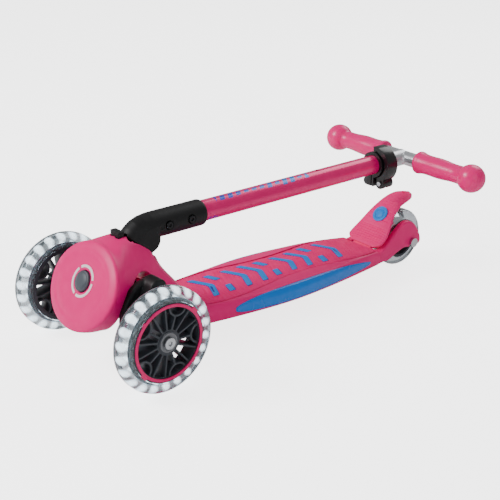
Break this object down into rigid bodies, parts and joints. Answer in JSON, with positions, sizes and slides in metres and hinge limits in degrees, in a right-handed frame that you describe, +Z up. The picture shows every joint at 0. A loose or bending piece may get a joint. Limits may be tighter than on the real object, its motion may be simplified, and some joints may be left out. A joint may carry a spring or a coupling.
{
  "type": "kick scooter",
  "caption": "Folding three-wheel toddler kick scooter with lean steering, folded: low ribbed deck, light-up front wheels, rear fender brake and height-adjustable T-bar.",
  "frame": {"origin": "on the ground under the middle of the folded scooter's box", "axes": "+X to the rider's left, +Y to the rear, -Y to the nose, +Z up"},
  "size_m": [0.276, 0.5795, 0.1789],
  "materials": {
    "pink_plastic": "satin moulded polypropylene",
    "pink_trim": "gloss",
    "tread_rubber": "fine ribbed soft tread",
    "blue_plastic": "satin",
    "white_print": "printed ring",
    "black_plastic": "fine texture",
    "grey_plastic": "satin",
    "clear_tyre": "clear cast polyurethane",
    "clear_plastic": "clear",
    "light_ring": "translucent ring with lights",
    "steel": "zinc plated",
    "black_steel": "black oxide",
    "pink_aluminium": "metallic lacquer",
    "aluminium": "satin anodised",
    "grip_rubber": "soft translucent rubber"
  },
  "bodies": {
    "deck": {"deck_shell": "pink_plastic", "deck_tread": "tread_rubber", "side_panel_left": "blue_plastic", "side_panel_right": "blue_plastic", "front_housing": "pink_plastic", "nose_ring": "white_print", "pivot_bracket": "steel", "kingpin": "steel", "kingpin_nut": "steel", "lock_button_spring": "steel", "fold_button_spring": "steel", "steering_spring": "steel", "rear_axle": "steel", "rear_axle_nut": "steel", "rear_axle_spacers": "black_plastic", "brake_pin": "steel", "brake_spring": "steel", "housing_screws": "steel"},
    "steering_lock": {"steering_lock_button": "grey_plastic"},
    "fold_release": {"fold_button": "black_plastic"},
    "brake": {"brake_fender": "pink_plastic", "brake_badge": "blue_plastic"},
    "truck": {"truck_beam": "black_plastic", "truck_barrel": "grey_plastic", "axle_bolt_left": "steel", "axle_bolt_right": "steel"},
    "wheel_front_left": {"front_tyre_left": "clear_tyre", "front_core_left": "grey_plastic", "front_trim_ring_left": "pink_trim", "front_led_ring_left": "light_ring", "front_bearings_left": "steel", "front_spacer_left": "steel"},
    "wheel_front_right": {"front_tyre_right": "clear_tyre", "front_core_right": "grey_plastic", "front_trim_ring_right": "pink_trim", "front_led_ring_right": "light_ring", "front_bearings_right": "steel", "front_spacer_right": "steel"},
    "wheel_rear": {"rear_tyre": "clear_tyre", "rear_core": "clear_plastic", "rear_bearings": "steel", "rear_spacer": "steel"},
    "column": {"elbow": "black_plastic", "fold_pin": "steel", "fold_pin_cap": "black_plastic", "outer_tube": "pink_aluminium", "elbow_bolts": "black_steel", "elbow_nuts": "black_steel", "clamp_collar": "black_plastic", "clamp_bolt": "steel", "clamp_pin": "steel"},
    "clamp_lever": {"clamp_lever": "black_plastic"},
    "handlebar": {"stem_tube": "aluminium", "cross_tube": "aluminium", "grip_left": "grip_rubber", "grip_right": "grip_rubber", "snap_spring": "steel"},
    "snap_button": {"snap_button": "steel"}
  },
  "joints": [
    {"name": "steering_lean", "type": "hinge", "parent": "deck", "child": "truck", "pos_m": [0, -0.26465, 0.1032], "axis": [0, -0.8988, 0.4384], "range_deg": [-15, 15], "stiffness_Nm_per_rad": 20},
    {"name": "front_left_spin", "type": "hinge", "parent": "truck", "child": "wheel_front_left", "pos_m": [0.101, -0.22925, 0.0605], "axis": [1, 0, 0], "continuous": true},
    {"name": "front_right_spin", "type": "hinge", "parent": "truck", "child": "wheel_front_right", "pos_m": [-0.101, -0.22925, 0.0605], "axis": [1, 0, 0], "continuous": true},
    {"name": "rear_spin", "type": "hinge", "parent": "deck", "child": "wheel_rear", "pos_m": [0, 0.24975, 0.04], "axis": [1, 0, 0], "continuous": true},
    {"name": "brake_press", "type": "hinge", "parent": "deck", "child": "brake", "pos_m": [0, 0.18075, 0.0385], "axis": [-1, 0, 0], "range_deg": [0, 7], "stiffness_Nm_per_rad": 6},
    {"name": "lock_press", "type": "slide", "parent": "deck", "child": "steering_lock", "axis": [0, 0.8988, -0.4384], "range_m": [0, 0.005], "stiffness_N_per_m": 600, "deforming": ["lock_button_spring"]},
    {"name": "release_press", "type": "slide", "parent": "deck", "child": "fold_release", "axis": [0, 0, -1], "range_m": [0, 0.004], "stiffness_N_per_m": 600, "deforming": ["fold_button_spring"]},
    {"name": "fold", "type": "hinge", "parent": "deck", "child": "column", "pos_m": [0, -0.18325, 0.136], "axis": [1, 0, 0], "range_deg": [0, 82]},
    {"name": "clamp_open", "type": "hinge", "parent": "column", "child": "clamp_lever", "pos_m": [0.0125, 0.20307, 0.13058], "axis": [0, 0.9999, 0.0152], "range_deg": [0, 115]},
    {"name": "bar_height", "type": "slide", "parent": "column", "child": "handlebar", "axis": [0, 0.9999, 0.0152], "range_m": [0, 0.094]},
    {"name": "snap_button_out", "type": "slide", "parent": "handlebar", "child": "snap_button", "axis": [0, -0.0152, 0.9999], "range_m": [0, 0.004], "stiffness_N_per_m": 300, "springref_m": 0.006, "deforming": ["snap_spring"]}
  ]
}
